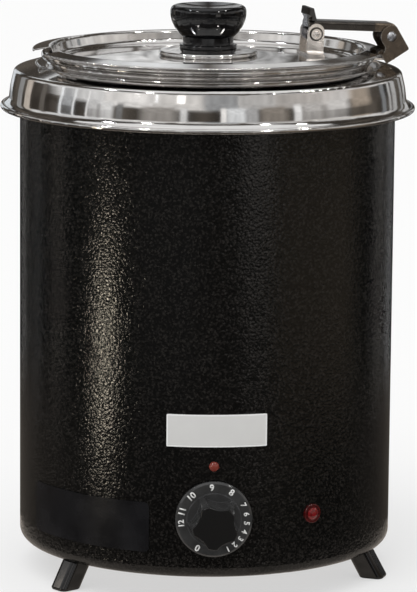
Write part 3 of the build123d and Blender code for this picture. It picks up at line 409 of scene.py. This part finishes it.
def darkHinge():  # blackened steel, rubbed bright along its edges, the wear there also a painted highlight; the cheeks carry a painted brown reflection, the tab's end a painted bluish reflection
    material, pen = newFinish("darkHinge")
    where = onObject(pen)
    mottle = noise(pen, where, hingeTones["mottleScale"], 4.0, 0.6)
    scratch = noise(pen, onObject(pen, scale=hingeTones["scratchDraw"]), hingeTones["scratchScale"], 3.0)
    # edge wear and painted highlight: bare, light colour along the edges
    bare = edgeMask(pen, hingeTones["edge"]) * ranged(pen, mottle, 0.25, 0.5)
    shade = ranged(pen, mottle * 0.7 + scratch * 0.3, 0.35, 0.68)
    x = axes(pen, where)[0]
    # painted reflection: the cheeks take a lighter brown than the arm
    paintedCheekReflection = pen.maths("GREATER_THAN", x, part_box("hinge_bracket")[0].x)
    arm = tint(pen, shade, hingeTones["armDark"], hingeTones["armLight"])
    body = tint(pen, paintedCheekReflection, arm, tint(pen, shade, hingeTones["dark"], hingeTones["light"]))
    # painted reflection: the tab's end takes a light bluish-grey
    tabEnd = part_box("lid_arm")[0].x
    tabReach = hingeTones["paintedTabReach"]
    tabReflectionMask = ranged(pen, x, tabEnd + tabReach, tabEnd + tabReach * 1.4, 1.0, 0.0)
    lay(pen, {
        "Base Color": tint(pen, tabReflectionMask, tint(pen, bare, body, hingeTones["edgeWearAndHighlight"]), hingeTones["paintedTabReflection"]),
        "Metallic": 0.85,
        "Roughness": roughFrom(pen, scratch * 0.5 + mottle * 0.5, hingeTones["rough"]),
        "Coat Weight": 0.3,
        "Normal": bump(pen, scratch, hingeTones["height"], 0.4),
    })
    return material


rubber = {
    "clean": (0.025, 0.025, 0.026, 1), "powdered": grey(0.09), "rough": (0.55, 0.8),
    "talcScale": 240, "height": 0.00008,
}


def sealRubber():
    material, pen = newFinish("sealRubber")
    talc = noise(pen, onObject(pen), rubber["talcScale"], 4.0, 0.7)
    lay(pen, {
        "Base Color": tint(pen, ranged(pen, talc, 0.4, 0.75), rubber["clean"], rubber["powdered"]),
        "Roughness": roughFrom(pen, talc, rubber["rough"]),
        "Normal": bump(pen, talc, rubber["height"], 0.5),
    })
    return material


fibre = {
    "dark": (0.62, 0.58, 0.5, 1), "light": (0.8, 0.77, 0.7, 1), "rough": 0.9,
    "strandScale": 320, "strandDraw": (1, 0.2, 0.2), "height": 0.0004,
}


def padFibre():
    material, pen = newFinish("padFibre")
    strands = noise(pen, onObject(pen, scale=fibre["strandDraw"]), fibre["strandScale"], 4.0, 0.7, 1.2)
    lay(pen, {
        "Base Color": tint(pen, ranged(pen, strands, 0.35, 0.7), fibre["dark"], fibre["light"]),
        "Roughness": fibre["rough"],
        "Normal": bump(pen, strands, fibre["height"], 0.7),
    })
    return material


moulded = {
    "dark": (0.03, 0.03, 0.032, 1), "light": (0.06, 0.06, 0.062, 1), "rough": (0.36, 0.5),
    "grainScale": 1900, "sheenScale": 70, "height": 0.00005,
}


def controlPlastic():
    material, pen = newFinish("controlPlastic")
    where = onObject(pen)
    grain = noise(pen, where, moulded["grainScale"])
    sheen = noise(pen, where, moulded["sheenScale"], 3.0)
    lay(pen, {
        "Base Color": tint(pen, ranged(pen, sheen, 0.35, 0.7), moulded["dark"], moulded["light"]),
        "Roughness": roughFrom(pen, sheen, moulded["rough"]),
        "Normal": bump(pen, grain, moulded["height"], 0.5),
    })
    return material


alloy = {
    "fresh": (0.55, 0.54, 0.53, 1), "heated": (0.4, 0.36, 0.31, 1), "rough": (0.38, 0.58),
    "castScale": 420, "heatScale": 22, "height": 0.00012,
}


def heaterAlloy():
    material, pen = newFinish("heaterAlloy")
    where = onObject(pen)
    cast = noise(pen, where, alloy["castScale"], 4.0, 0.65)
    heat = noise(pen, where, alloy["heatScale"])
    lay(pen, {
        "Base Color": tint(pen, ranged(pen, heat, 0.35, 0.7), alloy["fresh"], alloy["heated"]),
        "Metallic": 0.9,
        "Roughness": roughFrom(pen, cast, alloy["rough"]),
        "Normal": bump(pen, cast, alloy["height"], 0.6),
    })
    return material


copper = {
    "bright": (0.72, 0.4, 0.25, 1), "tarnished": (0.34, 0.19, 0.12, 1), "rough": (0.2, 0.4),
    "tarnishScale": 150, "lineScale": 1500, "lineDraw": (1, 1, 0.05), "height": 0.00001,
}


def copperTube():
    material, pen = newFinish("copperTube")
    tarnish = noise(pen, onObject(pen), copper["tarnishScale"], 4.0, 0.6)
    lines = noise(pen, onObject(pen, scale=copper["lineDraw"]), copper["lineScale"])
    lay(pen, {
        "Base Color": tint(pen, ranged(pen, tarnish, 0.4, 0.75), copper["bright"], copper["tarnished"]),
        "Metallic": 1.0,
        "Roughness": roughFrom(pen, tarnish * 0.6 + lines * 0.4, copper["rough"]),
        "Normal": bump(pen, lines, copper["height"], 0.5),
    })
    return material


finishes = {
    "hammertone_black": hammertoneBlack(), "polished_steel": polishedSteel(),
    "brushed_steel": brushedSteel(), "zinc_steel": zincSteel(), "black_phenolic": blackPhenolic(),
    "dial_plastic": dialPlastic(), "plate_silver": plateSilver(), "dark_film": darkFilm(),
    "red_lens": redLens(), "red_bezel": redBezel(), "dark_hinge": darkHinge(),
    "seal_rubber": sealRubber(), "pad_fibre": padFibre(), "control_plastic": controlPlastic(),
    "heater_alloy": heaterAlloy(), "copper_tube": copperTube(),
}
for name, node in cadNodes.items():
    node.data.materials.clear()
    node.data.materials.append(finishes[slotOfNode[name]])
print("finishes:", len(finishes))


def deselect():
    if bpy.context.object and bpy.context.object.mode != "OBJECT":
        bpy.ops.object.mode_set(mode="OBJECT")
    bpy.ops.object.select_all(action="DESELECT")


def settle(piece):  # place goes into the mesh, the object to the origin
    deselect()
    piece.select_set(True)
    bpy.context.view_layer.objects.active = piece
    bpy.ops.object.transform_apply(location=True, rotation=True, scale=True)
    return piece


# numbers printed on the dial's skirt: degrees clockwise from the top, lengths in metres
dialPrint = {
    "reach": 0.0201, "thick": 0.00008, "tall": 0.0042, "small": 0.0036, "smallOnes": "1234567",
    "bold": 0.03, "curveSteps": 5, "weld": 0.0005,  # of the letter's own size
    "numbers": {
        "9": -4, "8": 32, "7": 63, "6": 80, "5": 96, "4": 111.5, "3": 126, "2": 140.5, "1": 154.6,
        "0": 209.6, "12": 264.7, "11": 285.3, "10": 317.6,
    },
    "gripReach": 0.0265, "skirtReach": 0.0046,  # fronts of the grip and the skirt, out from the casing
    "white": (0.86, 0.86, 0.84, 1), "thin": (0.66, 0.66, 0.65, 1), "rough": (0.4, 0.55),
    "wearScale": 1400, "height": 0.00002,
}


def printInk():
    material, pen = newFinish("printInk")
    wear = noise(pen, onObject(pen), dialPrint["wearScale"], 3.0, 0.6)
    lay(pen, {
        "Base Color": tint(pen, ranged(pen, wear, 0.45, 0.75), dialPrint["white"], dialPrint["thin"]),
        "Roughness": roughFrom(pen, wear, dialPrint["rough"]),
        "Normal": bump(pen, wear, dialPrint["height"], 0.4),
    })
    return material


def dialNumbers(skirtFront, centreHeight):
    glyphs = []
    for word, angle in dialPrint["numbers"].items():
        deselect()
        bpy.ops.object.text_add()
        text = bpy.context.object
        text.data.body = word
        text.data.align_x = "CENTER"
        text.data.offset = dialPrint["bold"]
        text.data.resolution_u = dialPrint["curveSteps"]
        bpy.ops.object.convert(target="MESH")
        bpy.ops.object.origin_set(type="ORIGIN_GEOMETRY", center="BOUNDS")
        bpy.ops.object.mode_set(mode="EDIT")
        bpy.ops.mesh.select_all(action="SELECT")
        bpy.ops.mesh.remove_doubles(threshold=dialPrint["weld"])
        bpy.ops.object.mode_set(mode="OBJECT")
        tall = dialPrint["small"] if word in dialPrint["smallOnes"] else dialPrint["tall"]
        size = tall / text.dimensions.y
        centre = Matrix.Translation((0, skirtFront, centreHeight))
        turn = Matrix.Rotation(math.radians(angle), 4, "Y")
        out = Matrix.Translation((0, 0, dialPrint["reach"]))
        upright = Matrix.Rotation(math.radians(90), 4, "X") @ Matrix.Scale(size, 4)
        text.matrix_world = centre @ turn @ out @ upright
        glyphs.append(settle(text))
    deselect()
    for glyph in glyphs:
        glyph.select_set(True)
    bpy.context.view_layer.objects.active = glyphs[0]
    bpy.ops.object.join()
    piece = bpy.context.object
    piece.name = "dial_numbers"
    wall = piece.modifiers.new("thickness", "SOLIDIFY")
    wall.thickness = dialPrint["thick"]
    wall.offset = 1.0
    bpy.ops.object.modifier_apply(modifier=wall.name)
    piece.data.materials.clear()
    piece.data.materials.append(printInk())
    return piece


shaftLow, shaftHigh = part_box("dial_shaft")
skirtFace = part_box("control_dial")[0].y + dialPrint["gripReach"] - dialPrint["skirtReach"]
numbers = dialNumbers(skirtFace, (shaftLow.z + shaftHigh.z) / 2)
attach(numbers, "dial")
print("dial numbers:", len(numbers.data.polygons), "faces")

# stage: pale floor, soft light, and cards that only reflections see
room = {
    "cameraAzimuth": -2.85, "cameraDistance": 2.347, "cameraHeight": 0.5917,
    "pitch": 0.1767, "yaw": -0.0396, "roll": 0.0088, "lens": 228.8, "sensor": 36, "clipEnd": 100,
    "floorTone": (0.93, 0.93, 0.925, 1), "floorSize": 16.0, "floorDrop": 0.0002, "floorRough": 0.9,
    "floorWhite": 0.55, "white": (1, 1, 1, 1), "fill": 0.78,
    "sun": 0.85, "sunAngle": 50.0, "sunFrom": (-35, 1.0, 1.6), "lampAim": (0, 0, 0.2),
}


def fromCamera(azimuth, distance, height):  # azimuth from above: 0 is the camera's, plus to its right
    angle = math.radians(azimuth + room["cameraAzimuth"])
    return Vector((distance * math.sin(angle), -distance * math.cos(angle), height))


def addCamera():
    data = bpy.data.cameras.new("camera")
    data.lens = room["lens"]
    data.sensor_width = room["sensor"]
    data.clip_end = room["clipEnd"]
    camera = bpy.data.objects.new("camera", data)
    bpy.context.scene.collection.objects.link(camera)
    turn = Matrix.Rotation(math.radians(room["cameraAzimuth"] + room["yaw"]), 4, "Z")
    tilt = Matrix.Rotation(math.radians(90) - room["pitch"], 4, "X")
    roll = Matrix.Rotation(room["roll"], 4, "Z")
    place = fromCamera(0, room["cameraDistance"], room["cameraHeight"])
    camera.matrix_world = Matrix.Translation(place) @ turn @ tilt @ roll
    bpy.context.scene.camera = camera


def straightRay(pen):  # 1 for rays from the camera, off metal or through glass
    rays = pen.node("ShaderNodeLightPath").socket.node
    seen, glossy, through = [
        Wire(pen.tree, rays.outputs[kind])
        for kind in ("Is Camera Ray", "Is Glossy Ray", "Is Transmission Ray")
    ]
    return pen.maths("MINIMUM", seen + glossy + through, 1.0)


def addFloor():
    deselect()
    bpy.ops.mesh.primitive_plane_add(size=room["floorSize"], location=(0, 0, -room["floorDrop"]))
    floor = bpy.context.object
    floor.name = "floor"
    material, pen = newFinish("paleFloor")
    matt = pen.node("ShaderNodeBsdfPrincipled", None, {
        "Base Color": room["floorTone"], "Roughness": room["floorRough"], "Specular IOR Level": 0.0,
    })
    white = pen.node("ShaderNodeEmission", None, {"Color": room["white"], "Strength": 1.0})
    share = straightRay(pen) * room["floorWhite"]
    mixed = pen.node("ShaderNodeMixShader", None, {0: share, 1: matt, 2: white})
    pen.node("ShaderNodeOutputMaterial", None, {"Surface": mixed})
    material.cycles.emission_sampling = "NONE"
    floor.data.materials.append(material)


def addWorld():
    world = bpy.data.worlds.new("studio")
    world.use_nodes = True
    world.node_tree.nodes.clear()
    pen = Wire(world.node_tree)
    soft = pen.node("ShaderNodeBackground", None, {"Color": room["white"], "Strength": room["fill"]})
    white = pen.node("ShaderNodeBackground", None, {"Color": room["white"], "Strength": 1.0})
    mixed = pen.node("ShaderNodeMixShader", None, {0: straightRay(pen), 1: soft, 2: white})
    pen.node("ShaderNodeOutputWorld", None, {"Surface": mixed})
    bpy.context.scene.world = world


def onlyReflections(item):
    item.visible_camera = False
    item.visible_diffuse = False
    item.visible_shadow = False
    item.visible_transmission = False


# cards round the object; each panel has azimuth and width in degrees, brightness, and how warm it is
card = {"dim": 0.65, "soft": 0.1, "cloudScale": 7.0}
rings = {
    "table": {"distance": 0.6, "low": 0.0, "high": 0.26, "panels": [
        (-21, 42, 0.12, 0.05), (-84, 22, 0.03, 0.1), (-95, 1.2, 3.0, 0.1), (-118, 1.5, 1.6, 0.0),
        (-144, 2, 1.6, 0.03), (66, 58, 0.22, 0.25), (122, 2, 1.8, 0.05), (144, 2.5, 1.8, 0.0),
    ]},
    "tableBack": {"distance": 0.64, "low": 0.0, "high": 0.22, "panels": [
        (-112, 34, 0.006, 0.0), (-146, 34, 0.006, 0.0), (116, 34, 0.012, 0.1), (150, 34, 0.012, 0.0),
    ]},
    "frontLow": {"distance": 1.7, "low": 0.33, "high": 0.74, "soft": 0.25, "panels": [
        (-86, 11, 0.5, -0.03), (-67, 10, 0.75, 0.0), (-58, 11, 1.0, 0.0), (-50, 5, 0.25, 0.0),
        (-27, 26, 0.4, 0.06), (-13, 5, 1.0, 0.0), (9, 4, 1.2, 0.02), (16, 15, 0.95, -0.02),
        (25, 8, 0.55, 0.0), (37, 20, 0.3, 0.12), (51, 6, 1.3, 0.0), (61, 18, 0.65, 0.03),
        (78, 22, 0.9, 0.02), (97, 22, 0.42, 0.18),
    ]},
    "frontHigh": {"distance": 1.72, "low": 0.56, "high": 1.18, "soft": 0.16, "panels": [
        (-76, 40, 0.9, 0.0), (-46, 40, 1.0, 0.02), (-16, 40, 0.85, 0.03), (8, 24, 0.42, -0.02),
        (27, 28, 0.62, 0.02), (52, 40, 0.58, 0.05), (83, 40, 0.8, 0.04), (116, 40, 0.9, 0.02),
        (-108, 40, 0.9, 0.0),
    ]},
    "spots": {"distance": 1.6, "low": 0.82, "high": 0.9, "panels": [
        (-62, 3, 3.0, 0.0), (-41, 4, 3.0, 0.02), (-15, 5, 2.5, 0.03), (-29, 1.5, 2.5, -0.03),
        (64, 4, 2.5, 0.04),
    ]},
    "doorway": {"distance": 1.7, "low": 0.0, "high": 0.34, "panels": [(30, 16, 1.0, 0.06)]},
    "cornice": {"distance": 1.7, "low": 1.16, "high": 1.42, "panels": [
        (-84, 40, 0.95, 0.0), (-42, 40, 1.0, 0.0), (0, 40, 0.8, 0.0), (42, 40, 1.0, 0.0),
        (84, 40, 0.95, 0.0),
    ]},
    "sides": {"distance": 1.65, "low": 0.12, "high": 0.8, "panels": [
        (-71, 1.2, 1.3, 0.0), (-81, 1.5, 1.3, -0.02), (-91, 2, 1.3, -0.03), (-107, 5, 0.16, 0.1),
        (-124, 8, 0.6, 0.12), (-135, 8, 0.35, 0.0), (-160, 14, 0.9, -0.05), (119, 5, 0.3, -0.05),
        (127, 3, 0.7, 0.0), (134, 7, 0.6, 0.0), (147, 5, 0.4, 0.0), (157, 8, 0.6, 0.0),
    ]},
    "rear": {"distance": 1.6, "low": 0.38, "high": 0.85, "dim": 0.35, "panels": [
        (173.5, 5, 0.4, 0.0), (178, 4, 0.6, 0.0), (-177, 6, 0.95, 0.0),
    ]},
    "brow": {"distance": 1.6, "low": 0.95, "high": 1.35, "panels": [
        (168, 24, 0.85, 0.0), (-168, 24, 1.0, -0.02),
    ]},
}


def glowing(name, low, high, scale, soft=0.0):  # a cloud of two levels, faded over a card's edges if soft
    material, pen = newFinish(name)
    where = onObject(pen)
    cloud = ranged(pen, noise(pen, where, scale, 2.0), 0.35, 0.65)
    glow = pen.node("ShaderNodeEmission", None, {"Color": tint(pen, cloud, low, high), "Strength": 1.0})
    if soft:
        x, y, z = axes(pen, where)
        inside = ranged(pen, 0.5 - abs(x), 0.0, soft) * ranged(pen, 0.5 - abs(y), 0.0, soft)
        clear = pen.node("ShaderNodeBsdfTransparent")
        glow = pen.node("ShaderNodeMixShader", None, {0: inside, 1: clear, 2: glow})
    pen.node("ShaderNodeOutputMaterial", None, {"Surface": glow})
    material.cycles.emission_sampling = "NONE"
    return material


darkRoom = {
    "radius": 1.9, "height": 2.4, "lift": 0.0004, "sides": 96,
    "low": grey(0.02, 0.15), "high": grey(0.09, 0.15), "cloudScale": 1.6,
}


def addDarkRoom():  # a closed drum round the stage, so that polished parts mirror a dim room
    deselect()
    bpy.ops.mesh.primitive_cylinder_add(
        vertices=darkRoom["sides"], radius=darkRoom["radius"], depth=darkRoom["height"],
        location=(0, 0, darkRoom["height"] / 2 + darkRoom["lift"]),
    )
    drum = bpy.context.object
    drum.name = "darkRoom"
    walls = glowing("darkRoom", darkRoom["low"], darkRoom["high"], darkRoom["cloudScale"])
    drum.data.materials.append(walls)
    onlyReflections(drum)


overhead = {"size": 2.4, "height": 2.2, "low": grey(0.76), "high": grey(0.95), "cloudScale": 2.0}


def addOverhead():  # a soft panel straight above
    deselect()
    bpy.ops.mesh.primitive_plane_add(size=overhead["size"], location=(0, 0, overhead["height"]))
    panel = bpy.context.object
    panel.name = "overhead"
    light = glowing("overhead", overhead["low"], overhead["high"], overhead["cloudScale"])
    panel.data.materials.append(light)
    onlyReflections(panel)


doormat = {
    "radius": 0.18, "height": 0.0008, "sides": 64,
    "low": grey(0.3, 0.12), "high": grey(0.5, 0.12), "cloudScale": 30.0,
}


def addDoormat():  # a paler patch of floor that only the rounded bottom edge mirrors
    deselect()
    bpy.ops.mesh.primitive_circle_add(
        vertices=doormat["sides"], radius=doormat["radius"], fill_type="NGON",
        location=(0, 0, doormat["height"]),
    )
    mat = bpy.context.object
    mat.name = "doormat"
    pale = glowing("doormat", doormat["low"], doormat["high"], doormat["cloudScale"])
    mat.data.materials.append(pale)
    onlyReflections(mat)


def addRing(ringName, ring):
    tall = ring["high"] - ring["low"]
    for index, (azimuth, width, level, warm) in enumerate(ring["panels"]):
        wide = 2 * ring["distance"] * math.tan(math.radians(width / 2))
        deselect()
        bpy.ops.mesh.primitive_plane_add(size=1)
        panel = bpy.context.object
        panel.name = f"{ringName}Card{index:02d}"
        place = Matrix.Translation(fromCamera(azimuth, ring["distance"], ring["low"] + tall / 2))
        turn = Matrix.Rotation(math.radians(azimuth + room["cameraAzimuth"]), 4, "Z")
        upright = Matrix.Rotation(math.radians(90), 4, "X")
        panel.matrix_world = place @ turn @ upright @ Matrix.Diagonal((wide, tall, 1, 1))
        low, high = grey(level * ring.get("dim", card["dim"]), warm), grey(level, warm)
        soft = ring.get("soft", card["soft"])
        panel.data.materials.append(glowing(panel.name, low, high, card["cloudScale"], soft))
        onlyReflections(panel)


# name: azimuth, distance, height; width and height of the lamp's face; watts; colour
lamps = {
    "window": (-59, 0.66, 0.05, 0.06, 0.07, 0.28, (1.0, 0.88, 0.7)),
    "ceilingLeft": (-40, 1.5, 1.7, 0.12, 0.12, 3.0, (1.0, 0.98, 0.95)),
    "ceilingRight": (38, 1.5, 1.7, 0.12, 0.12, 3.0, (1.0, 0.98, 0.95)),
    "ceilingFarLeft": (-80, 1.4, 2.1, 0.12, 0.12, 3.0, (0.92, 0.96, 1.0)),
    "ceilingFarRight": (75, 1.4, 2.1, 0.12, 0.12, 3.0, (1.0, 0.98, 0.95)),
}


def addLamps():
    for name, (azimuth, distance, height, wide, tall, watts, colour) in lamps.items():
        data = bpy.data.lights.new(name, "AREA")
        data.shape = "RECTANGLE"
        data.size, data.size_y = wide, tall
        data.energy = watts
        data.color = colour
        lamp = bpy.data.objects.new(name, data)
        bpy.context.scene.collection.objects.link(lamp)
        lamp.location = fromCamera(azimuth, distance, height)
        aim = Vector(room["lampAim"]) - lamp.location
        lamp.rotation_euler = aim.to_track_quat("-Z", "Y").to_euler()
        onlyReflections(lamp)
    data = bpy.data.lights.new("skylight", "SUN")
    data.energy = room["sun"]
    data.angle = math.radians(room["sunAngle"])
    lamp = bpy.data.objects.new("skylight", data)
    bpy.context.scene.collection.objects.link(lamp)
    lamp.rotation_euler = (-fromCamera(*room["sunFrom"])).to_track_quat("-Z", "Y").to_euler()


addCamera()
addFloor()
addWorld()
addDarkRoom()
addOverhead()
addDoormat()
for ringName, ring in rings.items():
    addRing(ringName, ring)
addLamps()
bpy.context.scene.view_settings.view_transform = "Standard"
print("stage:", len(rings), "rings of cards,", len(lamps) + 1, "lamps")
